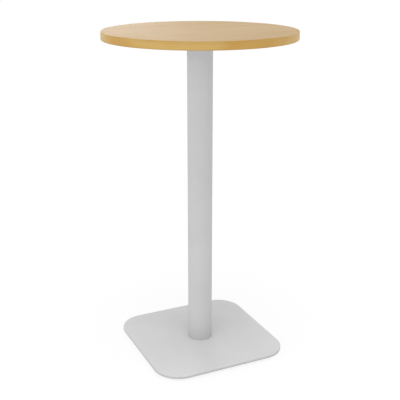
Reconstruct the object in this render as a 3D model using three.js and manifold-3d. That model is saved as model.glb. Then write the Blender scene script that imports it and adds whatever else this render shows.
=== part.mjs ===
// Standing meeting table: a round laminated top on one steel column, carried by a square base plate.
// Units are millimetres and +Z is up. The origin is on the floor under the column's axis, and X and Y run
// along the base plate's sides. Four swivel glides screw in and out of the base plate to level the table.

import * as THREE from "three";
import { mergeVertices } from "three/addons/utils/BufferGeometryUtils.js";
import Module from "manifold-3d";

const wasm = await Module();
wasm.setup();

// Driving dimensions: the table as a whole
const tableHeight = 1050;
const topDiameter = 600;
const topThickness = 25;
const columnDiameter = 80;
const columnWall = 2;
const basePlateWidth = 450;
const basePlateThickness = 8;
const basePlateCornerRadius = 85;
const basePlateEdgeRound = 0.8;

// The laminated top and its edging
const laminateThickness = 0.8;
const edgeBandThickness = 2;
const edgeBandRound = 1.5;
const edgeBandJointGap = 0.3; // between the strip's two ends
const edgeBandJointTurn = 65; // degrees round from +X, at the back of the table

// The plate that carries the top, and the screws that hold the top to it
const topPlateWidth = 240;
const topPlateThickness = 5;
const topPlateCornerRadius = 24;
const topPlateEdgeRound = 0.5;
const topPlateVentDiameter = 16;
const weldLeg = 4;
const topScrewDiameter = 6;
const topScrewGrip = 11; // length that goes into the insert
const topScrewFromEdge = 24; // screw axis to the top plate's sides
const topScrewFlangeDiameter = 13.6;
const topScrewFlangeThickness = 1.2;
const topScrewHeadDiameter = 10.5;
const topScrewHeadHeight = 3.3;
const topScrewCrownDiameter = 5.8; // flat on the head's end
const topScrewSocket = 4; // hexagon, across flats
const topScrewSocketDepth = 2;
const insertDiameter = 12;
const insertLength = 14;
const insertChamfer = 1;
const insertSocket = 8; // hexagon, across flats
const insertSocketDepth = 4;
const insertHoleSpare = 1.5; // depth left above the insert for the glue and the screw's tip

// The plug welded into the column's foot, and the countersunk screws that pull it down on the base plate
const footPlugThickness = 12;
const footPlugVentDiameter = 12;
const footPlugChamfer = 2;
const baseScrewDiameter = 8;
const baseScrewHeadDiameter = 15;
const baseScrewHeadRim = 0.6;
const baseScrewEndGap = 1.5; // screw tip to the plug's upper face
const baseScrewFromPlugRim = 13; // screw axis to the plug's rim
const baseScrewSocket = 5; // hexagon, across flats
const baseScrewSocketDepth = 3;
const boltTipChamfer = 0.8;

// The levelling glides: a stud with a hexagon collar whose captive foot turns inside a snap-on pad
const glideFromSide = 50; // glide axis to the base plate's sides
const glideThreadDiameter = 8;
const glideHoleSkin = 1.5; // plate left above the blind threaded hole
const glideStudEndGap = 0.5;
const glideCollar = 13; // hexagon, across flats
const glideCollarHeight = 2.3;
const glideFootDiameter = 13;
const glidePadDiameter = 30;
const glidePadShoulder = 23; // diameter of the pad's upper rim
const glidePadHeight = 4.2;
const glidePadFloor = 1.1;
const glidePadLip = 1;
const glidePadRound = 1;
const glidePadRimHeight = 1.8;

// Clearances
const seatGap = 0.2; // between flat faces that bear on each other
const fitGap = 0.3; // round a piece that goes into another
const glueLine = 0.1; // between the sheets of the top

// Facets
const topSides = 96;
const columnSides = 64;
const boltSides = 18;
const padSides = 24;
const cornerSteps = 7; // a quarter turn gets twice this many
const arcSteps = 2;
const bevelSteps = 2;
const pastFace = 1; // how far a cutting tool reaches past the face that it cuts
const weldOverlap = 1; // how far the weld runs into the plate that it is fused to
const mergeTolerance = 1e-4;

// Places that follow from the sizes above
const topRadius = topDiameter / 2;
const boardRadius = topRadius - edgeBandThickness - glueLine;
const coreThickness = topThickness - 2 * (laminateThickness + glueLine);
const columnRadius = columnDiameter / 2;
const columnBoreRadius = columnRadius - columnWall;
const footPlugRadius = columnBoreRadius - fitGap;
const baseScrewCircleRadius = footPlugRadius - baseScrewFromPlugRim;
const floorGap = glidePadHeight + fitGap + glideCollarHeight + seatGap;
const basePlateTop = floorGap + basePlateThickness;
const topUnderside = tableHeight - topThickness;
const topPlateTop = topUnderside - seatGap;
const topPlateUnderside = topPlateTop - topPlateThickness;
const columnFoot = basePlateTop + seatGap;
const columnLength = topPlateUnderside - seatGap - columnFoot;
const glideHoleDepth = basePlateThickness - glideHoleSkin;
const fourCorners = [
  [1, 1],
  [-1, 1],
  [-1, -1],
  [1, -1],
];

const materials = {
  decor: new THREE.MeshStandardMaterial({ color: 0xd2b487, roughness: 0.55, metalness: 0 }),
  backing: new THREE.MeshStandardMaterial({ color: 0xd8d7d4, roughness: 0.55, metalness: 0 }),
  edging: new THREE.MeshStandardMaterial({ color: 0xcdaa69, roughness: 0.5, metalness: 0 }),
  chipboard: new THREE.MeshStandardMaterial({ color: 0xb9976a, roughness: 0.9, metalness: 0 }),
  powderCoat: new THREE.MeshStandardMaterial({ color: 0xc9c9c9, roughness: 0.5, metalness: 0 }),
  bareSteel: new THREE.MeshStandardMaterial({ color: 0x999a9c, roughness: 0.45, metalness: 1 }),
  zinc: new THREE.MeshStandardMaterial({ color: 0xb4b7ba, roughness: 0.35, metalness: 1 }),
  padPlastic: new THREE.MeshStandardMaterial({ color: 0x2b2c2e, roughness: 0.6, metalness: 0 }),
};

// Solids: closed three.js geometries are cut and joined as manifolds and come back as geometries.

function solidOf(geometry) {
  const bare = geometry.clone();
  bare.deleteAttribute("normal");
  bare.deleteAttribute("uv");
  const merged = mergeVertices(bare, mergeTolerance);
  const mesh = new wasm.Mesh({
    numProp: 3,
    vertProperties: new Float32Array(merged.attributes.position.array),
    triVerts: new Uint32Array(merged.index.array),
  });
  return new wasm.Manifold(mesh);
}

function geometryOf(solid) {
  const mesh = solid.getMesh();
  const geometry = new THREE.BufferGeometry();
  geometry.setAttribute("position", new THREE.BufferAttribute(mesh.vertProperties, 3));
  geometry.setIndex(new THREE.BufferAttribute(mesh.triVerts, 1));
  geometry.computeVertexNormals();
  return geometry;
}

function cut(geometry, tools) {
  const body = tools.reduce((left, tool) => left.subtract(solidOf(tool)), solidOf(geometry));
  return geometryOf(body);
}

function join(pieces) {
  return geometryOf(pieces.map(solidOf).reduce((body, piece) => body.add(piece)));
}

// An outline in the radius and height plane, turned about the Z axis.
function revolve(outline, sides) {
  return new THREE.LatheGeometry(outline.getPoints(arcSteps), sides).rotateX(Math.PI / 2);
}

function outlineThrough(points) {
  const outline = new THREE.Path();
  outline.setFromPoints(points.map(([radius, height]) => new THREE.Vector2(radius, height)));
  return outline;
}

function disc(radius, thickness, sides) {
  const outline = outlineThrough([
    [0, 0],
    [radius, 0],
    [radius, thickness],
    [0, thickness],
  ]);
  return revolve(outline, sides);
}

function ring(innerRadius, outerRadius, height, sides) {
  const outline = outlineThrough([
    [innerRadius, 0],
    [outerRadius, 0],
    [outerRadius, height],
    [innerRadius, height],
    [innerRadius, 0],
  ]);
  return revolve(outline, sides);
}

// A hexagon bar along Z from height 0, sized across its flats.
function hexagonBar(acrossFlats, height) {
  const cornerRadius = acrossFlats / Math.sqrt(3);
  return new THREE.CylinderGeometry(cornerRadius, cornerRadius, height, 6)
    .rotateX(Math.PI / 2)
    .translate(0, 0, height / 2);
}

// A straight round hole's cutting tool, from below height 0 to the given depth.
function drill(diameter, depth) {
  return disc(diameter / 2, depth + pastFace, boltSides).translate(0, 0, -pastFace);
}

function hexagonSocket(acrossFlats, depth) {
  return hexagonBar(acrossFlats, depth + pastFace).translate(0, 0, -pastFace);
}

function roundedSquare(width, cornerRadius) {
  const centre = width / 2 - cornerRadius;
  const outline = new THREE.Shape();
  fourCorners.forEach(([x, y], quarter) => {
    const start = (quarter * Math.PI) / 2;
    outline.absarc(x * centre, y * centre, cornerRadius, start, start + Math.PI / 2, false);
  });
  return outline.closePath();
}

// A flat plate from height 0 whose long edges are eased to a small radius.
function easedPlate(outline, thickness, edgeRound) {
  return new THREE.ExtrudeGeometry(outline, {
    depth: thickness - 2 * edgeRound,
    bevelThickness: edgeRound,
    bevelSize: edgeRound,
    bevelOffset: -edgeRound,
    bevelSegments: bevelSteps,
    curveSegments: cornerSteps,
  }).translate(0, 0, edgeRound);
}

// Where a pattern of four repeats: on the corners of a square, or on a circle.
function cornersAt(half) {
  return fourCorners.map(([x, y]) => [x * half, y * half]);
}

const topScrewPlaces = cornersAt(topPlateWidth / 2 - topScrewFromEdge);
const baseScrewPlaces = cornersAt(baseScrewCircleRadius * Math.SQRT1_2);
const glidePlaces = cornersAt(basePlateWidth / 2 - glideFromSide);

function atEach(places, tool) {
  return places.map(([x, y]) => tool.clone().translate(x, y, 0));
}

// The scene graph

const table = new THREE.Group();

function groupAt(parent, x, y, z) {
  const group = new THREE.Group();
  group.position.set(x, y, z);
  parent.add(group);
  return group;
}

function addPiece(parent, name, geometry, material, z = 0) {
  const mesh = new THREE.Mesh(geometry, material);
  mesh.name = name;
  mesh.position.z = z;
  parent.add(mesh);
}

// The top: chipboard between a decor sheet and a plain backing sheet, with a rounded edge band glued round it.

const insertHole = drill(insertDiameter + 2 * fitGap, insertLength + insertHoleSpare);

function tabletopCore() {
  return cut(disc(boardRadius, coreThickness, topSides), atEach(topScrewPlaces, insertHole));
}

function backingLaminate() {
  return cut(disc(boardRadius, laminateThickness, topSides), atEach(topScrewPlaces, insertHole));
}

// One strip bent round the board, whose two ends meet in a fine butt joint.
function edgeBand() {
  const inner = topRadius - edgeBandThickness;
  const round = edgeBandRound;
  const outline = new THREE.Path();
  outline.moveTo(inner, 0);
  outline.lineTo(topRadius - round, 0);
  outline.absarc(topRadius - round, round, round, -Math.PI / 2, 0, false);
  outline.absarc(topRadius - round, topThickness - round, round, 0, Math.PI / 2, false);
  outline.lineTo(inner, topThickness);
  outline.closePath();
  const joint = new THREE.BoxGeometry(
    edgeBandThickness + 2 * pastFace,
    edgeBandJointGap,
    topThickness + 2 * pastFace,
  );
  joint.translate(topRadius - edgeBandThickness / 2, 0, topThickness / 2);
  joint.rotateZ(THREE.MathUtils.degToRad(edgeBandJointTurn));
  return cut(revolve(outline, topSides), [joint]);
}

// A threaded sleeve that is driven into the core from below by its hexagon socket.
function threadedInsert() {
  const radius = insertDiameter / 2;
  const bore = topScrewDiameter / 2 + fitGap;
  const outline = outlineThrough([
    [bore, 0],
    [radius - insertChamfer, 0],
    [radius, insertChamfer],
    [radius, insertLength - insertChamfer],
    [radius - insertChamfer, insertLength],
    [bore, insertLength],
    [bore, 0],
  ]);
  return cut(revolve(outline, boltSides), [hexagonSocket(insertSocket, insertSocketDepth)]);
}

const top = groupAt(table, 0, 0, topUnderside);
const coreFoot = laminateThickness + glueLine;
addPiece(top, "backing_laminate", backingLaminate(), materials.backing);
addPiece(top, "tabletop_core", tabletopCore(), materials.chipboard, coreFoot);
addPiece(
  top,
  "top_laminate",
  disc(boardRadius, laminateThickness, topSides),
  materials.decor,
  topThickness - laminateThickness,
);
addPiece(top, "edge_band", edgeBand(), materials.edging);
topScrewPlaces.forEach(([x, y], index) => {
  const place = groupAt(top, x, y, 0);
  addPiece(place, `threaded_insert_${index + 1}`, threadedInsert(), materials.zinc, seatGap);
});

// The pedestal: the column, the plate welded across its head and the plug welded into its foot.

function topPlate() {
  const plate = easedPlate(
    roundedSquare(topPlateWidth, topPlateCornerRadius),
    topPlateThickness,
    topPlateEdgeRound,
  );
  const weldRadius = columnRadius + fitGap;
  const weld = outlineThrough([
    [weldRadius, -weldLeg],
    [weldRadius + weldLeg, 0],
    [weldRadius + weldLeg, weldOverlap],
    [weldRadius, weldOverlap],
    [weldRadius, -weldLeg],
  ]);
  const holes = [
    ...atEach(topScrewPlaces, drill(topScrewDiameter + 2 * fitGap, topPlateThickness + pastFace)),
    drill(topPlateVentDiameter, topPlateThickness + pastFace),
  ];
  return cut(join([plate, revolve(weld, columnSides)]), holes);
}

// A flanged button-head screw, head down, with its seating face at height 0.
function topScrew() {
  const shank = topScrewDiameter / 2;
  const flange = topScrewFlangeDiameter / 2;
  const head = topScrewHeadDiameter / 2;
  const length = topPlateThickness + 2 * seatGap + topScrewGrip;
  const crown = topScrewHeadHeight;
  const outline = new THREE.Path();
  outline.moveTo(0, -crown);
  outline.lineTo(topScrewCrownDiameter / 2, -crown);
  outline.quadraticCurveTo(head, -crown, head, -topScrewFlangeThickness);
  outline.lineTo(flange, -topScrewFlangeThickness / 2);
  outline.lineTo(flange, 0);
  outline.lineTo(shank, 0);
  outline.lineTo(shank, length - boltTipChamfer);
  outline.lineTo(shank - boltTipChamfer, length);
  outline.lineTo(0, length);
  const socket = hexagonSocket(topScrewSocket, topScrewSocketDepth).translate(0, 0, -crown);
  return cut(revolve(outline, boltSides), [socket]);
}

function columnFootPlug() {
  const outline = outlineThrough([
    [0, 0],
    [footPlugRadius, 0],
    [footPlugRadius, footPlugThickness - footPlugChamfer],
    [footPlugRadius - footPlugChamfer, footPlugThickness],
    [0, footPlugThickness],
  ]);
  const threads = drill(baseScrewDiameter + 2 * fitGap, footPlugThickness + pastFace);
  const vent = drill(footPlugVentDiameter, footPlugThickness + pastFace);
  return cut(revolve(outline, columnSides), [...atEach(baseScrewPlaces, threads), vent]);
}

const pedestal = groupAt(table, 0, 0, columnFoot);
const column = ring(columnBoreRadius, columnRadius, columnLength, columnSides);
addPiece(pedestal, "column_tube", column, materials.powderCoat);
addPiece(pedestal, "column_foot_plug", columnFootPlug(), materials.bareSteel);

const topCarrier = groupAt(table, 0, 0, topPlateUnderside);
addPiece(topCarrier, "top_plate", topPlate(), materials.powderCoat);
topScrewPlaces.forEach(([x, y], index) => {
  const place = groupAt(topCarrier, x, y, -seatGap);
  addPiece(place, `top_screw_${index + 1}`, topScrew(), materials.zinc);
});

// The base: a flat plate with countersunk holes under the column and blind threaded holes for the glides.

// The outline of a countersunk screw from its head's flat face up, grown by a gap all round.
function countersunkOutline(gap, reachDown, length, tipChamfer) {
  const shank = baseScrewDiameter / 2 + gap;
  const head = baseScrewHeadDiameter / 2 + gap;
  return outlineThrough([
    [0, -reachDown],
    [head, -reachDown],
    [head, baseScrewHeadRim],
    [shank, baseScrewHeadRim + head - shank],
    [shank, length - tipChamfer],
    [shank - tipChamfer, length],
    [0, length],
  ]);
}

function basePlate() {
  const plate = easedPlate(
    roundedSquare(basePlateWidth, basePlateCornerRadius),
    basePlateThickness,
    basePlateEdgeRound,
  );
  const countersink = revolve(
    countersunkOutline(fitGap, pastFace, basePlateThickness + pastFace, 0),
    boltSides,
  );
  const glideHole = drill(glideThreadDiameter + 2 * fitGap, glideHoleDepth);
  return cut(plate, [...atEach(baseScrewPlaces, countersink), ...atEach(glidePlaces, glideHole)]);
}

function baseScrew() {
  const length = basePlateThickness + seatGap + footPlugThickness - baseScrewEndGap;
  const body = revolve(countersunkOutline(0, 0, length, boltTipChamfer), boltSides);
  return cut(body, [hexagonSocket(baseScrewSocket, baseScrewSocketDepth)]);
}

const base = groupAt(table, 0, 0, floorGap);
addPiece(base, "base_plate", basePlate(), materials.powderCoat);
baseScrewPlaces.forEach(([x, y], index) => {
  addPiece(groupAt(base, x, y, 0), `base_screw_${index + 1}`, baseScrew(), materials.zinc);
});

// The glides, from the floor up: pad, captive foot, neck, hexagon collar and the thread in the base plate.

function glideStud() {
  const thread = glideThreadDiameter / 2;
  const foot = glideFootDiameter / 2;
  const footBottom = glidePadFloor + fitGap;
  const footTop = glidePadHeight - glidePadLip - fitGap;
  const tip = floorGap + glideHoleDepth - glideStudEndGap;
  const spindle = outlineThrough([
    [0, footBottom],
    [foot, footBottom],
    [foot, footTop],
    [thread, footTop],
    [thread, tip - boltTipChamfer],
    [thread - boltTipChamfer, tip],
    [0, tip],
  ]);
  const collar = hexagonBar(glideCollar, glideCollarHeight).translate(0, 0, glidePadHeight + fitGap);
  return join([revolve(spindle, boltSides), collar]);
}

function glidePad() {
  const radius = glidePadDiameter / 2;
  const mouth = glideThreadDiameter / 2 + fitGap;
  const socket = glideFootDiameter / 2 + fitGap;
  const lipUnderside = glidePadHeight - glidePadLip;
  const outline = new THREE.Path();
  outline.moveTo(0, 0);
  outline.lineTo(radius - glidePadRound, 0);
  outline.absarc(radius - glidePadRound, glidePadRound, glidePadRound, -Math.PI / 2, 0, false);
  outline.lineTo(radius, glidePadRimHeight);
  outline.lineTo(glidePadShoulder / 2, glidePadHeight);
  outline.lineTo(mouth, glidePadHeight);
  outline.lineTo(mouth, lipUnderside);
  outline.lineTo(socket, lipUnderside);
  outline.lineTo(socket, glidePadFloor);
  outline.lineTo(0, glidePadFloor);
  return revolve(outline, padSides);
}

glidePlaces.forEach(([x, y], index) => {
  const place = groupAt(table, x, y, 0);
  addPiece(place, `glide_stud_${index + 1}`, glideStud(), materials.zinc);
  addPiece(place, `glide_pad_${index + 1}`, glidePad(), materials.padPlastic);
});

export default table;
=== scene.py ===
import math

import bmesh
import bpy
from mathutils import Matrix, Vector
from mathutils.geometry import tessellate_polygon


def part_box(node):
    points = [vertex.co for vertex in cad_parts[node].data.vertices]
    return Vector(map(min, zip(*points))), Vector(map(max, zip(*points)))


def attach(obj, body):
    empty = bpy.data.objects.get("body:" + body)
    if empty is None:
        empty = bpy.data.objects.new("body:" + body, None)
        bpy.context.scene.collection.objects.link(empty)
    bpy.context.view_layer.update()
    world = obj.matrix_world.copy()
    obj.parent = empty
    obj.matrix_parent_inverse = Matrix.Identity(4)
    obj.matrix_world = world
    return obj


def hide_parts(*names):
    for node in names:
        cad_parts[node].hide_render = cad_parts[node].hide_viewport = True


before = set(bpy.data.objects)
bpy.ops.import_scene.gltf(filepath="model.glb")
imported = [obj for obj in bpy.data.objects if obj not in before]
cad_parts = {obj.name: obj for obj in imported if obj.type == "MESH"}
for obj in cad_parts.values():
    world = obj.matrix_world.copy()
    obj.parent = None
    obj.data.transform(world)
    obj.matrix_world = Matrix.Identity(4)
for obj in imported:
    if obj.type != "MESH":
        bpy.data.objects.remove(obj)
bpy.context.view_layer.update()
scene = bpy.context.scene
scene.view_settings.view_transform = "Standard"
fullTurn = 2 * math.pi
mm = 0.001
fours = range(1, 5)  # screws, inserts and glides come in fours
print("frame loaded:", len(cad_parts), "nodes")


# camera, at the place that the photograph was taken from
cameraSet = {
    "lens": 67.02,  # mm
    "sensor": 36,  # mm
    "aimHeight": 0.5068,
    "distance": 2.4254,
    "turn": -25.0,  # degrees round the table from the base plate's front
    "tilt": 18.55,  # degrees above the horizon
}


def outward(turn, height):
    turn, height = math.radians(turn), math.radians(height)
    level = math.cos(height)
    return Vector((math.sin(turn) * level, -math.cos(turn) * level, math.sin(height)))


def lookBack(holder, way):
    holder.rotation_mode = "QUATERNION"
    holder.rotation_quaternion = (-way).to_track_quat("-Z", "Y")
    scene.collection.objects.link(holder)


def placeCamera(values):
    data = bpy.data.cameras.new("camera")
    data.lens = values["lens"]
    data.sensor_width = values["sensor"]
    camera = bpy.data.objects.new("camera", data)
    way = outward(values["turn"], values["tilt"])
    camera.location = Vector((0, 0, values["aimHeight"])) + way * values["distance"]
    lookBack(camera, way)
    scene.camera = camera


placeCamera(cameraSet)
print("camera placed")


# node helpers
def newGroup(name, inputs, outputs):
    group = bpy.data.node_groups.new(name, "ShaderNodeTree")
    for label, kind in inputs.items():
        group.interface.new_socket(label, in_out="INPUT", socket_type=f"NodeSocket{kind}")
    for label, kind in outputs.items():
        group.interface.new_socket(label, in_out="OUTPUT", socket_type=f"NodeSocket{kind}")
    return group, group.nodes.new("NodeGroupInput").outputs, group.nodes.new("NodeGroupOutput").inputs


def feed(tree, socket, value):
    if isinstance(value, bpy.types.NodeSocket):
        tree.links.new(value, socket)
    else:
        socket.default_value = value


def maths(tree, operation, first, second=0.0, kind="ShaderNodeMath"):
    node = tree.nodes.new(kind)
    node.operation = operation
    feed(tree, node.inputs[0], first)
    feed(tree, node.inputs[1], second)
    return node.outputs[0]


def vectorMaths(tree, operation, first, second):
    return maths(tree, operation, first, second, "ShaderNodeVectorMath")


def average(tree, first, second):
    return maths(tree, "MULTIPLY", maths(tree, "ADD", first, second), 0.5)


def split(tree, vector):
    node = tree.nodes.new("ShaderNodeSeparateXYZ")
    feed(tree, node.inputs[0], vector)
    return node.outputs


def combine(tree, x=0.0, y=0.0):
    node = tree.nodes.new("ShaderNodeCombineXYZ")
    feed(tree, node.inputs["X"], x)
    feed(tree, node.inputs["Y"], y)
    return node.outputs[0]


def noise(tree, vector, scale=1.0, detail=2.0, roughness=0.5, distortion=0.0):
    node = tree.nodes.new("ShaderNodeTexNoise")
    feed(tree, node.inputs["Vector"], vector)
    feed(tree, node.inputs["Scale"], scale)
    feed(tree, node.inputs["Detail"], detail)
    feed(tree, node.inputs["Roughness"], roughness)
    feed(tree, node.inputs["Distortion"], distortion)
    return node.outputs["Fac"]


def stretch(tree, value, low, high, newLow=0.0, newHigh=1.0):
    node = tree.nodes.new("ShaderNodeMapRange")
    feed(tree, node.inputs["Value"], value)
    feed(tree, node.inputs["From Min"], low)
    feed(tree, node.inputs["From Max"], high)
    feed(tree, node.inputs["To Min"], newLow)
    feed(tree, node.inputs["To Max"], newHigh)
    return node.outputs["Result"]


def blendColour(tree, share, first, second):
    node = tree.nodes.new("ShaderNodeMix")
    node.data_type = "RGBA"
    feed(tree, node.inputs["Factor"], share)
    feed(tree, node.inputs["A"], first)
    feed(tree, node.inputs["B"], second)
    return node.outputs["Result"]


def bumped(tree, height, values):
    node = tree.nodes.new("ShaderNodeBump")
    node.inputs["Strength"].default_value = values["bumpStrength"]
    node.inputs["Distance"].default_value = values["bumpDepth"]
    feed(tree, node.inputs["Height"], height)
    return node.outputs["Normal"]


def placeGroup(tree, group, inputs):
    node = tree.nodes.new("ShaderNodeGroup")
    node.node_tree = group
    for label, value in inputs.items():
        feed(tree, node.inputs[label], value)
    return node.outputs


def newFinish(name, constants):
    finish = bpy.data.materials.new(name)
    finish.use_nodes = True
    tree = finish.node_tree
    shader = tree.nodes["Principled BSDF"].inputs
    for label, value in constants.items():
        shader[label].default_value = value
    place = tree.nodes.new("ShaderNodeTexCoord").outputs["Object"]
    return finish, tree, shader, place


# shared effects
grainSet = {  # waves per metre run along, across and through the wood
    "bend": {"perMetre": (1.1, 3.0, 3.0), "detail": 2.0, "roughness": 0.5},
    "bendReach": 20 * mm,  # how far the stripes wander to each side
    "broad": {
        "perMetre": (0.9, 24.0, 24.0),
        "detail": 3.0,
        "roughness": 0.55,
        "range": (0.3, 0.7),
        "share": 0.55,
    },
    "stripes": {
        "perMetre": (2.6, 130.0, 130.0),
        "detail": 3.0,
        "roughness": 0.6,
        "range": (0.3, 0.7),
        "share": 0.3,
    },
    "fibres": {
        "perMetre": (26.0, 900.0, 900.0),
        "detail": 2.0,
        "roughness": 0.5,
        "range": (0.25, 0.75),
        "share": 0.15,
    },
    "warmPatches": {"perMetre": (4.5, 14.0, 14.0), "detail": 2.0, "roughness": 0.5, "range": (0.4, 0.62)},
    "pores": {"perMetre": (170.0, 1300.0, 1300.0), "detail": 1.0, "roughness": 0.5, "range": (0.66, 0.74)},
    "spots": {"perMetre": (45.0, 210.0, 210.0), "detail": 1.0, "roughness": 0.5, "range": (0.70, 0.80)},
}


def grainLayer(tree, vector, layer):
    waves = vectorMaths(tree, "MULTIPLY", vector, layer["perMetre"])
    return noise(tree, waves, 1.0, layer["detail"], layer["roughness"])


def grainMask(tree, vector, layer):
    return stretch(tree, grainLayer(tree, vector, layer), *layer["range"])


def grainShare(tree, value, layer):
    return maths(tree, "MULTIPLY", stretch(tree, value, *layer["range"]), layer["share"])


def makeWoodGrain(values):
    group, given, result = newGroup(
        "woodGrain",
        {
            "Vector": "Vector",  # along, across, through, in metres
            "Pale": "Color",
            "Deep": "Color",
            "Warm": "Color",
            "Warm Share": "Float",
            "Fleck": "Color",
            "Fleck Share": "Float",
        },
        {"Color": "Color", "Height": "Float"},
    )
    reach = values["bendReach"]
    wander = grainLayer(group, given["Vector"], values["bend"])
    aside = combine(group, y=stretch(group, wander, 0.0, 1.0, -reach, reach))
    bent = vectorMaths(group, "ADD", given["Vector"], aside)
    broad = grainLayer(group, bent, values["broad"])
    stripes = grainLayer(group, bent, values["stripes"])
    fibres = grainLayer(group, bent, values["fibres"])
    fine = maths(group, "ADD", grainShare(group, stripes, values["stripes"]),
                 grainShare(group, fibres, values["fibres"]))
    tone = maths(group, "ADD", grainShare(group, broad, values["broad"]), fine)
    patches = grainMask(group, bent, values["warmPatches"])
    pores = grainMask(group, bent, values["pores"])
    spots = grainMask(group, bent, values["spots"])
    shade = blendColour(group, tone, given["Deep"], given["Pale"])
    warmth = maths(group, "MULTIPLY", patches, given["Warm Share"])
    shade = blendColour(group, warmth, shade, given["Warm"])
    flecks = maths(group, "MULTIPLY", maths(group, "MAXIMUM", pores, spots), given["Fleck Share"])
    feed(group, result["Color"], blendColour(group, flecks, shade, given["Fleck"]))
    feed(group, result["Height"], maths(group, "SUBTRACT", fibres, pores))
    return group


skinSet = {
    "rippleDetail": 1.5,
    "rippleRoughness": 0.4,
    "gritPerBump": 3.1,
    "gritDetail": 1.0,
    "gritShare": 0.35,
    "cloudsPerMetre": 7.0,
    "cloudDetail": 3.0,
    "range": (0.3, 0.7),
}


def makeFineSkin(values):
    group, given, result = newGroup(
        "fineSkin",
        {"Vector": "Vector", "Bumps Per Metre": "Float"},
        {"Height": "Float", "Speckle": "Float", "Cloud": "Float"},
    )
    place, size = given["Vector"], given["Bumps Per Metre"]
    ripples = noise(group, place, size, values["rippleDetail"], values["rippleRoughness"])
    grit = noise(group, place, maths(group, "MULTIPLY", size, values["gritPerBump"]), values["gritDetail"])
    clouds = noise(group, place, values["cloudsPerMetre"], values["cloudDetail"])
    height = maths(group, "ADD", ripples, maths(group, "MULTIPLY", grit, values["gritShare"]))
    feed(group, result["Height"], height)
    feed(group, result["Speckle"], stretch(group, grit, *values["range"]))
    feed(group, result["Cloud"], stretch(group, clouds, *values["range"]))
    return group


handlingSet = {
    "wipesPerMetre": (4.0, 11.0, 9.0),
    "wipeDetail": 3.0,
    "wipeCurl": 0.8,
    "wipeRange": (0.42, 0.72),
    "motesPerMetre": 1500.0,
    "moteDetail": 1.0,
    "moteRange": (0.7, 0.8),
    "dustyPerMetre": 5.0,
    "dustyDetail": 3.0,
    "dustyRange": (0.45, 0.7),
}


def makeHandling(values):
    group, given, result = newGroup("handling", {"Vector": "Vector"}, {"Smear": "Float", "Dust": "Float"})
    place = given["Vector"]
    streaked = vectorMaths(group, "MULTIPLY", place, values["wipesPerMetre"])
    wipes = noise(group, streaked, detail=values["wipeDetail"], distortion=values["wipeCurl"])
    motes = noise(group, place, values["motesPerMetre"], values["moteDetail"])
    dusty = noise(group, place, values["dustyPerMetre"], values["dustyDetail"])
    dust = maths(group, "MULTIPLY", stretch(group, motes, *values["moteRange"]),
                 stretch(group, dusty, *values["dustyRange"]))
    feed(group, result["Smear"], stretch(group, wipes, *values["wipeRange"]))
    feed(group, result["Dust"], dust)
    return group


def makeCellTones():
    group, given, result = newGroup(
        "cellTones", {"Vector": "Vector", "Cells Per Metre": "Float"}, {"Tone": "Float"})
    cells = group.nodes.new("ShaderNodeTexVoronoi")
    feed(group, cells.inputs["Vector"], given["Vector"])
    feed(group, cells.inputs["Scale"], given["Cells Per Metre"])
    grey = group.nodes.new("ShaderNodeRGBToBW")
    feed(group, grey.inputs[0], cells.outputs["Color"])
    feed(group, result["Tone"], grey.outputs[0])
    return group


woodGrain = makeWoodGrain(grainSet)
fineSkin = makeFineSkin(skinSet)
handling = makeHandling(handlingSet)
cellTones = makeCellTones()  # one even tone for each spangle or chip
print("shared effects built")


# finishes
def placeGrain(tree, vector, values):
    return placeGroup(tree, woodGrain, {
        "Vector": vector,
        "Pale": values["pale"],
        "Deep": values["deep"],
        "Warm": values["warm"],
        "Warm Share": values["warmShare"],
        "Fleck": values["fleck"],
        "Fleck Share": values["fleckShare"],
    })


def placeSkin(tree, place, values):
    return placeGroup(tree, fineSkin, {"Vector": place, "Bumps Per Metre": values["bumpsPerMetre"]})


def handle(tree, shader, place, height, values):
    marks = placeGroup(tree, handling, {"Vector": place})
    feed(tree, shader["Roughness"], stretch(tree, marks["Smear"], 0, 1, *values["roughness"]))
    feed(tree, shader["Normal"], bumped(tree, height, values))
    return marks["Dust"]


decorSet = {
    "shader": {"IOR": 1.48, "Specular IOR Level": 0.25},
    "pale": (0.531, 0.367, 0.191, 1),
    "deep": (0.450, 0.305, 0.141, 1),
    "warm": (0.473, 0.303, 0.129, 1),
    "warmShare": 0.4,
    "fleck": (0.32, 0.180, 0.05, 1),
    "fleckShare": 0.45,
    "roughness": (0.51, 0.59),
    "bumpStrength": 0.35,
    "bumpDepth": 0.03 * mm,
}


def makeDecor(values):
    finish, tree, shader, place = newFinish("beechDecor", values["shader"])
    grain = placeGrain(tree, place, values)
    feed(tree, shader["Base Color"], grain["Color"])
    handle(tree, shader, place, grain["Height"], values)
    return finish


edgingSet = {
    "shader": {"IOR": 1.46, "Specular IOR Level": 0.4},
    "pale": (0.722, 0.475, 0.154, 1),
    "deep": (0.614, 0.380, 0.104, 1),
    "warm": (0.590, 0.305, 0.050, 1),
    "warmShare": 0.85,
    "fleck": (0.40, 0.21, 0.05, 1),
    "fleckShare": 0.55,
    "arrisShade": (0.44, 0.27, 0.08, 1),  # painted shade along the two arrises
    "arrisShadeShare": 0.5,
    "arrisShadeWidth": 4.0 * mm,
    "roughness": (0.38, 0.46),
    "bumpStrength": 0.35,
    "bumpDepth": 0.03 * mm,
    "seamTurn": 65.0,  # degrees, where the strip's two ends meet at the back
}


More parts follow.
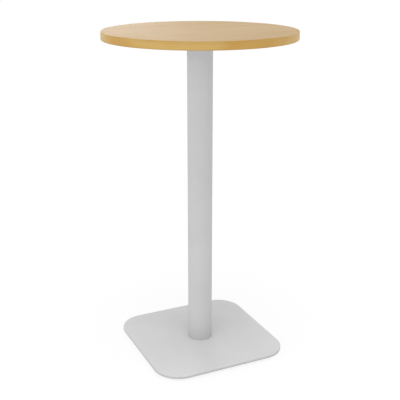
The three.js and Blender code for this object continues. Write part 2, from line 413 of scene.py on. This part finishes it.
def makeEdging(values):
    finish, tree, shader, place = newFinish("edging", values["shader"])
    low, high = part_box("edge_band")
    x, y, z = split(tree, place)
    seam = math.radians(values["seamTurn"])  # the pattern starts anew at the strip's joint
    ahead = maths(tree, "ADD", maths(tree, "MULTIPLY", x, -math.cos(seam)),
                  maths(tree, "MULTIPLY", y, -math.sin(seam)))
    aside = maths(tree, "SUBTRACT", maths(tree, "MULTIPLY", x, math.sin(seam)),
                  maths(tree, "MULTIPLY", y, math.cos(seam)))
    length = maths(tree, "MULTIPLY", maths(tree, "ARCTAN2", aside, ahead), high.x)
    grain = placeGrain(tree, combine(tree, length, z), values)
    half = (high.z - low.z) / 2
    fromMiddle = maths(tree, "ABSOLUTE", maths(tree, "SUBTRACT", z, low.z + half))
    # painted shade: darker towards the top and bottom arrises of the strip
    arrisShade = stretch(tree, fromMiddle, half - values["arrisShadeWidth"], half)
    arrisShade = maths(tree, "MULTIPLY", arrisShade, values["arrisShadeShare"])
    feed(tree, shader["Base Color"], blendColour(tree, arrisShade, grain["Color"], values["arrisShade"]))
    handle(tree, shader, place, grain["Height"], values)
    return finish


powderSet = {
    "shader": {"IOR": 1.5, "Specular IOR Level": 0.35},
    "light": (0.709, 0.707, 0.709, 1),
    "dark": (0.642, 0.640, 0.642, 1),
    "dust": (0.70, 0.69, 0.67, 1),
    "dustShare": 0.35,
    "shadeColour": (0.530, 0.523, 0.517, 1),  # painted shade on the column's foot and on the base plate's sides and underside
    "footShadeShare": 0.85,
    "footReach": 100 * mm,
    "footFade": 2.0,
    "rimShadeShare": 0.4,
    "rimFade": 0.8 * mm,
    "roughness": (0.60, 0.70),
    "bumpsPerMetre": 850.0,
    "bumpStrength": 0.5,
    "bumpDepth": 0.12 * mm,
}


# painted shade: darker towards the column's foot, fading over footReach above the plate
def shadeNearFoot(tree, height, values):
    above = maths(tree, "SUBTRACT", height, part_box("column_tube")[0].z)
    onColumn = maths(tree, "GREATER_THAN", above, 0.0)
    near = stretch(tree, above, 0.0, values["footReach"], 1.0, 0.0)
    shadeShare = maths(tree, "MULTIPLY", onColumn, maths(tree, "POWER", near, values["footFade"]))
    return maths(tree, "MULTIPLY", shadeShare, values["footShadeShare"])


# painted shade: darker on the base plate's sides and underside, below its top face
def shadeNearRim(tree, height, values):
    below = maths(tree, "SUBTRACT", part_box("base_plate")[1].z, height)
    shadeShare = stretch(tree, below, values["rimFade"], 2 * values["rimFade"])
    return maths(tree, "MULTIPLY", shadeShare, values["rimShadeShare"])


def makePowderCoat(values):
    finish, tree, shader, place = newFinish("powderCoat", values["shader"])
    skin = placeSkin(tree, place, values)
    coat = blendColour(tree, average(tree, skin["Speckle"], skin["Cloud"]), values["dark"], values["light"])
    height = split(tree, place)["Z"]
    # painted shade mixed into the coat at the column's foot and on the plate's rim
    shadeShare = maths(tree, "MAXIMUM", shadeNearFoot(tree, height, values), shadeNearRim(tree, height, values))
    coat = blendColour(tree, shadeShare, coat, values["shadeColour"])
    dust = handle(tree, shader, place, skin["Height"], values)
    dusty = maths(tree, "MULTIPLY", dust, values["dustShare"])
    feed(tree, shader["Base Color"], blendColour(tree, dusty, coat, values["dust"]))
    return finish


backingSet = {
    "shader": {"IOR": 1.48},
    "light": (0.700, 0.695, 0.680, 1),
    "dark": (0.660, 0.655, 0.640, 1),
    "roughness": (0.50, 0.62),
    "bumpsPerMetre": 1500.0,
    "bumpStrength": 0.3,
    "bumpDepth": 0.03 * mm,
}


def makeBacking(values):
    finish, tree, shader, place = newFinish("backingSheet", values["shader"])
    skin = placeSkin(tree, place, values)
    sheet = blendColour(tree, skin["Speckle"], values["dark"], values["light"])
    feed(tree, shader["Base Color"], sheet)
    handle(tree, shader, place, skin["Height"], values)
    return finish


zincSet = {
    "shader": {"Metallic": 1.0},
    "light": (0.62, 0.635, 0.65, 1),
    "dark": (0.47, 0.48, 0.49, 1),
    "roughness": (0.26, 0.42),
    "spanglesPerMetre": 900.0,
    "bumpsPerMetre": 2400.0,
    "bumpStrength": 0.15,
    "bumpDepth": 0.03 * mm,
}

bareSteelSet = {
    **zincSet,
    "light": (0.50, 0.50, 0.505, 1),
    "dark": (0.34, 0.335, 0.33, 1),
    "roughness": (0.38, 0.55),
}


def makeMetal(name, values):
    finish, tree, shader, place = newFinish(name, values["shader"])
    cells = {"Vector": place, "Cells Per Metre": values["spanglesPerMetre"]}
    spangle = placeGroup(tree, cellTones, cells)["Tone"]
    skin = placeSkin(tree, place, values)
    tone = average(tree, spangle, skin["Cloud"])
    feed(tree, shader["Base Color"], blendColour(tree, tone, values["dark"], values["light"]))
    handle(tree, shader, place, skin["Height"], values)
    return finish


padSet = {
    "shader": {"IOR": 1.5},
    "light": (0.030, 0.031, 0.033, 1),
    "dark": (0.019, 0.020, 0.021, 1),
    "dust": (0.22, 0.21, 0.19, 1),
    "dustShare": 0.5,
    "roughness": (0.48, 0.62),
    "bumpsPerMetre": 2000.0,
    "bumpStrength": 0.3,
    "bumpDepth": 0.04 * mm,
}


def makePadPlastic(values):
    finish, tree, shader, place = newFinish("padPlastic", values["shader"])
    skin = placeSkin(tree, place, values)
    body = blendColour(tree, skin["Cloud"], values["dark"], values["light"])
    dust = handle(tree, shader, place, skin["Height"], values)
    dusty = maths(tree, "MULTIPLY", dust, values["dustShare"])
    feed(tree, shader["Base Color"], blendColour(tree, dusty, body, values["dust"]))
    return finish


chipboardSet = {
    "shader": {"Roughness": 0.9},
    "pale": (0.62, 0.44, 0.24, 1),
    "deep": (0.36, 0.22, 0.10, 1),
    "chipsPerMetre": 420.0,
    "chipShape": (0.6, 1.0, 2.2),  # chips lie flat in the board
    "bumpStrength": 0.5,
    "bumpDepth": 0.3 * mm,
}


def makeChipboard(values):
    finish, tree, shader, place = newFinish("chipboard", values["shader"])
    shaped = vectorMaths(tree, "MULTIPLY", place, values["chipShape"])
    cells = {"Vector": shaped, "Cells Per Metre": values["chipsPerMetre"]}
    chips = placeGroup(tree, cellTones, cells)["Tone"]
    feed(tree, shader["Base Color"], blendColour(tree, chips, values["deep"], values["pale"]))
    feed(tree, shader["Normal"], bumped(tree, chips, values))
    return finish


beechDecor = makeDecor(decorSet)
backing = makeBacking(backingSet)
edging = makeEdging(edgingSet)
powderCoat = makePowderCoat(powderSet)
zinc = makeMetal("zincPlate", zincSet)
bareSteel = makeMetal("bareSteel", bareSteelSet)
padPlastic = makePadPlastic(padSet)
chipboard = makeChipboard(chipboardSet)
print("finishes built:", len(bpy.data.materials))


# mesh helpers
def centreOf(node):
    low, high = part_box(node)
    return ((low.x + high.x) / 2, (low.y + high.y) / 2)


def polar(centre, reach, turn, z):
    return Vector((centre[0] + reach * math.cos(turn), centre[1] + reach * math.sin(turn), z))


def turnsRound(count):
    return [fullTurn * step / count for step in range(count)]


def quarterTurns(steps):
    return [math.pi / 2 * step / steps for step in range(steps + 1)]


def circleLoop(radius, z, count, centre=(0, 0)):
    return [polar(centre, radius, turn, z) for turn in turnsRound(count)]


def turnedLoops(profile, count, centre=(0, 0)):
    return [circleLoop(radius, z, count, centre) for radius, z in profile]


def hexLoop(acrossFlats, z, count, centre):
    flat = fullTurn / 6
    loop = []
    for turn in turnsRound(count):
        off = (turn + flat / 2) % flat - flat / 2
        loop.append(polar(centre, acrossFlats / 2 / math.cos(off), turn, z))
    return loop


def squareLoop(half, corner, z, steps):
    out = (half - corner) * math.sqrt(2)
    loop = []
    for side in range(4):
        start = side * math.pi / 2
        diagonal = start + math.pi / 4
        centre = (out * math.cos(diagonal), out * math.sin(diagonal))
        loop += [polar(centre, corner, start + turn, z) for turn in quarterTurns(steps)]
    return loop


def addLoop(mesh, points):
    return [mesh.verts.new(point) for point in points]


def bridge(mesh, first, second):
    for one, two, three, four in zip(first, first[1:] + first[:1], second[1:] + second[:1], second):
        mesh.faces.new((one, two, three, four))


def openLoft(mesh, loops):
    rows = [addLoop(mesh, loop) for loop in loops]
    for first, second in zip(rows, rows[1:]):
        bridge(mesh, first, second)
    return rows


def closedLoft(mesh, loops):
    rows = openLoft(mesh, loops)
    mesh.faces.new(rows[0])
    mesh.faces.new(rows[-1])


def ringLoft(mesh, loops):
    rows = openLoft(mesh, loops)
    bridge(mesh, rows[-1], rows[0])


def fillFlat(mesh, outer, holes):
    rings = [outer, *holes]
    verts = [vert for ring in rings for vert in ring]
    for corners in tessellate_polygon([[vert.co for vert in ring] for ring in rings]):
        mesh.faces.new([verts[corner] for corner in corners])


def newPiece(mesh, name, body, finish, nodes, creaseFrom=32):
    bmesh.ops.recalc_face_normals(mesh, faces=mesh.faces)
    data = bpy.data.meshes.new(name)
    mesh.to_mesh(data)
    mesh.free()
    for face in data.polygons:
        face.use_smooth = True
    data.set_sharp_from_angle(angle=math.radians(creaseFrom))
    data.materials.append(finish)
    piece = bpy.data.objects.new(name, data)
    scene.collection.objects.link(piece)
    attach(piece, body)
    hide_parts(*nodes)


# tabletop
topSheetSet = {
    "sides": 240,
    "easedEdge": 0.06 * mm,
    "flatFrom": 1.5 * mm,
    "creaseFrom": 40,  # degrees
}


def makeTopSheet(values):
    low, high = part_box("top_laminate")
    radius, ease = high.x, values["easedEdge"]
    profile = [
        (radius, low.z),
        (radius, high.z - ease),
        (radius - ease, high.z),
        (radius - values["flatFrom"], high.z),
    ]
    mesh = bmesh.new()
    closedLoft(mesh, turnedLoops(profile, values["sides"]))
    newPiece(mesh, "topSheet", "table", beechDecor, ["top_laminate"],
             values["creaseFrom"])


edgeStripSet = {
    "sides": 240,
    "thickness": 2.0 * mm,
    "round": 1.5 * mm,
    "roundSteps": 6,
    "faceLand": 0.1 * mm,  # flat left beside each rounded arris
    "sideLand": 0.4 * mm,
    "jointGap": 0.3 * mm,
    "seamTurn": edgingSet["seamTurn"],
}


def makeEdgeStrip(values):
    low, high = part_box("edge_band")
    radius, soft = high.x, values["round"]
    inner, face = radius - values["thickness"], radius - soft - values["faceLand"]
    side = soft + values["sideLand"]
    arris = quarterTurns(values["roundSteps"])
    profile = [(inner, low.z), (face, low.z)]
    profile += [(radius - soft + soft * math.sin(t), low.z + soft - soft * math.cos(t)) for t in arris]
    profile += [(radius, low.z + side), (radius, high.z - side)]
    profile += [(radius - soft + soft * math.cos(t), high.z - soft + soft * math.sin(t)) for t in arris]
    profile += [(face, high.z), (inner, high.z)]
    gapTurn = values["jointGap"] / radius
    start = math.radians(values["seamTurn"]) + gapTurn / 2
    loops = []
    for step in range(values["sides"] + 1):
        turn = start + (fullTurn - gapTurn) * step / values["sides"]
        loops.append([polar((0, 0), reach, turn, z) for reach, z in profile])
    mesh = bmesh.new()
    closedLoft(mesh, loops)
    newPiece(mesh, "edgeStrip", "table", edging, ["edge_band"])


makeTopSheet(topSheetSet)
makeEdgeStrip(edgeStripSet)
print("tabletop built")


# column
columnSet = {
    "sides": 160,
    "wall": 2.0 * mm,
    "endChamfer": 0.35 * mm,
    "endLand": 1.05 * mm,
}


def makeColumn(values):
    low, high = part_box("column_tube")
    outer, chamfer, land = high.x, values["endChamfer"], values["endLand"]
    inner = outer - values["wall"]
    profile = [
        (inner, low.z),
        (outer - chamfer, low.z),
        (outer, low.z + chamfer),
        (outer, low.z + land),
        (outer, high.z - land),
        (outer, high.z - chamfer),
        (outer - chamfer, high.z),
        (inner, high.z),
    ]
    mesh = bmesh.new()
    ringLoft(mesh, turnedLoops(profile, values["sides"]))
    newPiece(mesh, "column", "table", powderCoat, ["column_tube"])


makeColumn(columnSet)
print("column built")


# plates
def plateLoops(values, half, low, high):
    corner, steps, ease, flat = values["corner"], values["cornerSteps"], values["ease"], values["flatFrom"]
    loops = [squareLoop(half - flat, corner - flat, low, steps)]
    for turn in quarterTurns(values["easeSteps"]):
        inset = ease * (1 - math.sin(turn))
        loops.append(squareLoop(half - inset, corner - inset, low + ease * (1 - math.cos(turn)), steps))
    for turn in quarterTurns(values["easeSteps"]):
        inset = ease * (1 - math.cos(turn))
        loops.append(squareLoop(half - inset, corner - inset, high - ease * (1 - math.sin(turn)), steps))
    loops.append(squareLoop(half - flat, corner - flat, high, steps))
    return loops


def sinkBores(mesh, holes, sides):
    under, above = [], []
    for centre, profile, through in holes:
        bore = openLoft(mesh, turnedLoops(profile, sides, centre))
        under.append(bore[0])
        if through:
            above.append(bore[-1])
        else:
            mesh.faces.new(bore[-1])
    return under, above


basePlateSet = {
    "corner": 85 * mm,
    "cornerSteps": 24,
    "ease": 0.8 * mm,
    "easeSteps": 4,
    "flatFrom": 2.0 * mm,
    "holeSides": 48,
    "sinkRadius": 7.8 * mm,
    "sinkRim": 0.6 * mm,
    "screwHole": 4.3 * mm,
    "glideHole": 4.3 * mm,
    "glideHoleSkin": 1.5 * mm,
    "creaseFrom": 40,
}


def makeBasePlate(values):
    low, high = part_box("base_plate")
    wide, narrow, rim = values["sinkRadius"], values["screwHole"], values["sinkRim"]
    sink = [(wide, low.z), (wide, low.z + rim), (narrow, low.z + rim + wide - narrow), (narrow, high.z)]
    blind = [(values["glideHole"], low.z), (values["glideHole"], high.z - values["glideHoleSkin"])]
    holes = [(centreOf(f"base_screw_{number}"), sink, True) for number in fours]
    holes += [(centreOf(f"glide_stud_{number}"), blind, False) for number in fours]
    mesh = bmesh.new()
    rows = openLoft(mesh, plateLoops(values, high.x, low.z, high.z))
    under, above = sinkBores(mesh, holes, values["holeSides"])
    fillFlat(mesh, rows[0], under)
    fillFlat(mesh, rows[-1], above)
    newPiece(mesh, "basePlate", "table", powderCoat, ["base_plate"], values["creaseFrom"])


topPlateSet = {
    "corner": 24 * mm,
    "cornerSteps": 12,
    "ease": 0.5 * mm,
    "easeSteps": 3,
    "flatFrom": 1.2 * mm,
    "holeSides": 40,
    "screwHole": 3.3 * mm,
    "vent": 8.0 * mm,
    "weldLeg": 4.0 * mm,
    "weldGap": 0.3 * mm,
    "weldSteps": 6,
    "weldSwell": 0.5 * mm,  # how far the bead bulges past a straight fillet
    "weldRipples": 84,
    "rippleSides": 6,
    "rippleDepth": 0.32 * mm,
    "rippleLean": 0.7,  # of a ripple, from the toes to the middle of the bead
    "creaseFrom": 40,
}


def beadLoops(values, inner, flat):
    leg, steps, ripples = values["weldLeg"], values["weldSteps"], values["weldRipples"]
    sides = ripples * values["rippleSides"]
    loops = []
    for step in reversed(range(steps + 1)):
        reach = leg * step / steps
        swell = math.sin(math.pi * step / steps)
        loop = []
        for spot in range(sides):
            turn = fullTurn * (spot / sides + values["rippleLean"] * swell / ripples)
            valley = 1 - abs(math.sin(math.pi * spot / values["rippleSides"]))
            bulge = (values["weldSwell"] - values["rippleDepth"] * valley) * swell
            loop.append(polar((0, 0), inner + reach + bulge, turn, flat - leg + reach - bulge))
        loops.append(loop)
    loops.append(circleLoop(inner, flat, sides))
    return loops


def makeTopPlate(values):
    low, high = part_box("top_plate")
    flat = low.z + values["weldLeg"]
    bore, vent = values["screwHole"], values["vent"]
    holes = [(centreOf(f"top_screw_{number}"), [(bore, flat), (bore, high.z)], True) for number in fours]
    holes.append(((0, 0), [(vent, flat), (vent, high.z)], True))
    mesh = bmesh.new()
    rows = openLoft(mesh, plateLoops(values, high.x, flat, high.z))
    under, above = sinkBores(mesh, holes, values["holeSides"])
    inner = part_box("column_tube")[1].x + values["weldGap"]
    bead = openLoft(mesh, beadLoops(values, inner, flat))
    fillFlat(mesh, rows[0], [*under[:-1], bead[0]])  # round the weld
    fillFlat(mesh, bead[-1], under[-1:])  # inside the weld, with the vent
    fillFlat(mesh, rows[-1], above)
    newPiece(mesh, "topPlate", "table", powderCoat, ["top_plate"], values["creaseFrom"])


makeBasePlate(basePlateSet)
makeTopPlate(topPlateSet)
print("plates built")


# screws
def socketLoops(values, mouth, centre):
    flats, sides = values["socket"], values["sides"]
    deep, wide = values["socketChamfer"]
    tip, tipDepth = values["drillPoint"]
    floor = mouth + values["socketDepth"]
    return [
        circleLoop(tip, floor + tipDepth, sides, centre),
        hexLoop(flats, floor, sides, centre),
        hexLoop(flats, mouth + deep, sides, centre),
        hexLoop(flats + wide, mouth, sides, centre),
    ]


topScrewSet = {
    "sides": 48,
    "shank": 3.0 * mm,
    "tipTaper": 0.8 * mm,
    "flange": 6.8 * mm,
    "flangeThickness": 1.2 * mm,
    "flangeEdge": 0.2 * mm,
    "flangeSlope": (0.5, 0.35),  # of the thickness, where the eased edge begins and ends
    "head": 5.25 * mm,
    "headHeight": 3.3 * mm,
    "crown": 2.9 * mm,
    "crownSteps": 6,
    "socket": 4.0 * mm,
    "socketDepth": 2.0 * mm,
    "socketChamfer": (0.12 * mm, 0.25 * mm),  # deep, wide
    "drillPoint": (0.2 * mm, 0.7 * mm),  # radius of the tip, depth below the socket
}


def makeTopScrew(number, values):
    node = f"top_screw_{number}"
    low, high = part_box(node)
    seat = low.z + values["headHeight"]
    crown, thickness, flange = values["crown"], values["flangeThickness"], values["flange"]
    bulge, dome = values["head"] - crown, values["headHeight"] - thickness
    first, last = values["flangeSlope"]
    profile = [(crown, low.z)]
    for turn in quarterTurns(values["crownSteps"])[1:]:
        profile.append((crown + bulge * math.sin(turn), seat - thickness - dome * math.cos(turn)))
    profile += [
        (flange - values["flangeEdge"], seat - thickness * first),
        (flange, seat - thickness * last),
        (flange, seat),
        (values["shank"], seat),
        (values["shank"], high.z - values["tipTaper"]),
        (values["shank"] - values["tipTaper"], high.z),
    ]
    centre = centreOf(node)
    mesh = bmesh.new()
    closedLoft(mesh, socketLoops(values, low.z, centre) + turnedLoops(profile, values["sides"], centre))
    newPiece(mesh, f"topScrew{number}", "table", zinc, [node])


baseScrewSet = {
    "sides": 48,
    "shank": 4.0 * mm,
    "tipTaper": 0.8 * mm,
    "head": 7.5 * mm,
    "headRim": 0.6 * mm,
    "headEdge": (0.2 * mm, 0.25 * mm),  # deep, wide
    "socket": 5.0 * mm,
    "socketDepth": 3.0 * mm,
    "socketChamfer": (0.15 * mm, 0.3 * mm),
    "drillPoint": (0.2 * mm, 0.9 * mm),
}


def makeBaseScrew(number, values):
    node = f"base_screw_{number}"
    low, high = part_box(node)
    head, shank = values["head"], values["shank"]
    deep, wide = values["headEdge"]
    profile = [
        (head - wide, low.z),
        (head, low.z + deep),
        (head, low.z + values["headRim"]),
        (shank, low.z + values["headRim"] + head - shank),
        (shank, high.z - values["tipTaper"]),
        (shank - values["tipTaper"], high.z),
    ]
    centre = centreOf(node)
    mesh = bmesh.new()
    closedLoft(mesh, socketLoops(values, low.z, centre) + turnedLoops(profile, values["sides"], centre))
    newPiece(mesh, f"baseScrew{number}", "table", zinc, [node])


for number in fours:
    makeTopScrew(number, topScrewSet)
    makeBaseScrew(number, baseScrewSet)
print("screws built")


# levelling glides
studSet = {
    "sides": 48,
    "foot": 6.5 * mm,
    "footTop": 2.9 * mm,
    "footEdge": 0.25 * mm,
    "neck": 4.0 * mm,
    "collar": 13.0 * mm,
    "collarFrom": 4.5 * mm,
    "collarTo": 6.8 * mm,
    "collarChamfer": 0.35 * mm,
    "collarInset": 0.1 * mm,
    "threadCrest": 4.0 * mm,
    "threadRoot": 3.4 * mm,
    "threadEnds": (0.2 * mm, 0.1 * mm),  # clear of the collar, clear of the stud's end
    "pitch": 1.25 * mm,
    "rowsPerTurn": 8,
    "flankSlope": 1.6,
    "flankStart": -0.3,  # the rise is cut off at 0 and 1, which leaves flat roots and crests
    "runOut": 0.8,  # of the pitch, where the thread fades at the stud's end
    "endInset": 0.3 * mm,
    "creaseFrom": 38,
}


def threadLoop(values, z, start, end, centre):
    pitch, root = values["pitch"], values["threadRoot"]
    depth = values["threadCrest"] - root
    fade = max(0.0, min(1.0, (z - start) / pitch, (end - z) / (values["runOut"] * pitch)))
    loop = []
    for turn in turnsRound(values["sides"]):
        phase = (z / pitch - turn / fullTurn) % 1.0  # right-hand
        rise = values["flankSlope"] * (1 - abs(2 * phase - 1)) + values["flankStart"]
        loop.append(polar(centre, root + depth * min(1.0, max(0.0, rise)) * fade, turn, z))
    return loop


def makeStud(number, values):
    node = f"glide_stud_{number}"
    low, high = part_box(node)
    centre, sides = centreOf(node), values["sides"]
    foot, footTop, edge, neck = values["foot"], values["footTop"], values["footEdge"], values["neck"]
    collar, below, above = values["collar"], values["collarFrom"], values["collarTo"]
    rounded, root = collar / 2 - values["collarInset"], values["threadRoot"]
    loops = turnedLoops([
        (foot - edge, low.z),
        (foot, low.z + edge),
        (foot, footTop - edge),
        (foot - edge, footTop),
        (neck, footTop),
        (neck, below),
        (rounded, below),
    ], sides, centre)
    loops.append(hexLoop(collar, below + values["collarChamfer"], sides, centre))
    loops.append(hexLoop(collar, above - values["collarChamfer"], sides, centre))
    loops += turnedLoops([(rounded, above), (root, above)], sides, centre)
    start, end = above + values["threadEnds"][0], high.z - values["threadEnds"][1]
    rows = int((end - start) / values["pitch"] * values["rowsPerTurn"])
    for row in range(rows + 1):
        loops.append(threadLoop(values, start + (end - start) * row / rows, start, end, centre))
    loops.append(circleLoop(root - values["endInset"], high.z, sides, centre))
    mesh = bmesh.new()
    closedLoft(mesh, loops)
    newPiece(mesh, f"glideStud{number}", f"stud_{number}", zinc, [node], values["creaseFrom"])


padShapeSet = {
    "sides": 72,
    "floorRound": 1.0 * mm,
    "roundSteps": 5,
    "floorLand": 0.5 * mm,
    "rimHeight": 1.8 * mm,
    "rimEdge": (0.2 * mm, 0.15 * mm, 0.1 * mm),  # below, in, above
    "shoulder": 11.5 * mm,
    "shoulderEdge": (0.4 * mm, 0.25 * mm, 0.3 * mm),  # out, down, in
    "mouth": 4.3 * mm,
    "mouthEdge": (0.3 * mm, 0.2 * mm),  # out, down
    "socket": 6.8 * mm,
    "lip": 1.0 * mm,
    "floor": 1.1 * mm,
    "gate": 1.2 * mm,  # where the mould was filled, under the middle
    "gateEdge": 0.3 * mm,
    "ring": 6.5 * mm,
    "ringHalf": (0.6 * mm, 0.9 * mm),  # half the groove's width, inside and at its mouth
    "groove": 0.3 * mm,
}


def makePad(number, values):
    node = f"glide_pad_{number}"
    low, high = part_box(node)
    radius, soft, rim = (high.x - low.x) / 2, values["floorRound"], values["rimHeight"]
    gate, ring, groove = values["gate"], values["ring"], low.z + values["groove"]
    narrow, wide = values["ringHalf"]
    rimBelow, rimIn, rimAbove = values["rimEdge"]
    shoulder, (out, down, back) = values["shoulder"], values["shoulderEdge"]
    mouth, (mouthOut, mouthDown) = values["mouth"], values["mouthEdge"]
    lip = high.z - values["lip"]
    profile = [
        (gate, groove),
        (gate + values["gateEdge"], low.z),
        (ring - wide, low.z),
        (ring - narrow, groove),
        (ring + narrow, groove),
        (ring + wide, low.z),
        (radius - soft - values["floorLand"], low.z),
    ]
    for turn in quarterTurns(values["roundSteps"]):
        profile.append((radius - soft + soft * math.sin(turn), low.z + soft - soft * math.cos(turn)))
    profile += [
        (radius, rim - rimBelow),
        (radius - rimIn, rim + rimAbove),
        (shoulder + out, high.z - down),
        (shoulder - back, high.z),
        (mouth + mouthOut, high.z),
        (mouth, high.z - mouthDown),
        (mouth, lip),
        (values["socket"], lip),
        (values["socket"], values["floor"]),
    ]
    mesh = bmesh.new()
    closedLoft(mesh, turnedLoops(profile, values["sides"], centreOf(node)))
    newPiece(mesh, f"glidePad{number}", f"pad_{number}", padPlastic, [node])


for number in fours:
    makeStud(number, studSet)
    makePad(number, padShapeSet)
print("glides built")


# CAD pieces that stay as they are, with their finishes
keptPieces = {
    "backing_laminate": backing,
    "tabletop_core": chipboard,
    "column_foot_plug": bareSteel,
    **{f"threaded_insert_{number}": zinc for number in fours},
}
for node, finish in keptPieces.items():
    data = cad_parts[node].data
    data.materials.clear()
    data.materials.append(finish)
print("kept pieces finished:", len(keptPieces))


# studio
studioSet = {
    "worldLight": 0.656,
    "white": (1, 1, 1, 1),
    "floorColour": (0.775, 0.775, 0.775, 1),
    "floorGlow": 0.86,  # share of plain white that the camera sees in the floor
    "floorRadius": 40.0,
    "floorSides": 96,
    "floorLevel": -0.1 * mm,
    "lampDistance": 3.0,
    "lamps": {  # degrees round the table, degrees up, strength, width in degrees
        "overhead": (-25.0, 79.8, 1.16, 41.6),
        "key": (-47.0, 13.1, 0.20, 4.0),
        "side": (-79.0, 11.5, 0.20, 47.0),
        "back": (165.0, 14.0, 0.21, 16.0),
    },
}


def seesBackground(tree):
    path = tree.nodes.new("ShaderNodeLightPath").outputs
    seen = maths(tree, "MAXIMUM", path["Is Camera Ray"], path["Is Glossy Ray"])
    return maths(tree, "MAXIMUM", seen, path["Is Transmission Ray"])


def makeWorld(values):
    world = bpy.data.worlds.new("studio")
    world.use_nodes = True
    scene.world = world
    tree = world.node_tree
    background = tree.nodes["Background"].inputs
    background["Color"].default_value = values["white"]
    feed(tree, background["Strength"], stretch(tree, seesBackground(tree), 0, 1, values["worldLight"], 1.0))


def mixShaders(tree, share, first, second):
    node = tree.nodes.new("ShaderNodeMixShader")
    feed(tree, node.inputs[0], share)
    tree.links.new(first.outputs[0], node.inputs[1])
    tree.links.new(second.outputs[0], node.inputs[2])
    return node


def makeFloorFinish(values):
    finish = bpy.data.materials.new("floor")
    finish.use_nodes = True
    tree = finish.node_tree
    shader = tree.nodes["Principled BSDF"]
    shader.inputs["Roughness"].default_value = 1.0
    shader.inputs["Specular IOR Level"].default_value = 0.0
    seen = seesBackground(tree)
    paint = blendColour(tree, seen, values["floorColour"], values["white"])
    feed(tree, shader.inputs["Base Color"], paint)
    glow = tree.nodes.new("ShaderNodeEmission")
    lit = mixShaders(tree, maths(tree, "MULTIPLY", seen, values["floorGlow"]), shader, glow)
    clear = tree.nodes.new("ShaderNodeBsdfTransparent")  # seen from below, the floor is clear
    below = tree.nodes.new("ShaderNodeNewGeometry").outputs["Backfacing"]
    mixed = mixShaders(tree, below, lit, clear)
    tree.links.new(mixed.outputs[0], tree.nodes["Material Output"].inputs["Surface"])
    return finish


def makeFloor(values):
    mesh = bmesh.new()
    outline = circleLoop(values["floorRadius"], values["floorLevel"], values["floorSides"])
    mesh.faces.new(addLoop(mesh, outline))
    data = bpy.data.meshes.new("floor")
    mesh.to_mesh(data)
    mesh.free()
    data.materials.append(makeFloorFinish(values))
    floor = bpy.data.objects.new("floor", data)
    scene.collection.objects.link(floor)


def makeLamps(values):
    for name, (turn, height, strength, width) in values["lamps"].items():
        lamp = bpy.data.lights.new(name, "SUN")
        lamp.energy = strength
        lamp.angle = math.radians(width)
        holder = bpy.data.objects.new(name, lamp)
        way = outward(turn, height)
        holder.location = way * values["lampDistance"]
        lookBack(holder, way)


makeWorld(studioSet)
makeFloor(studioSet)
makeLamps(studioSet)
print("studio lit")
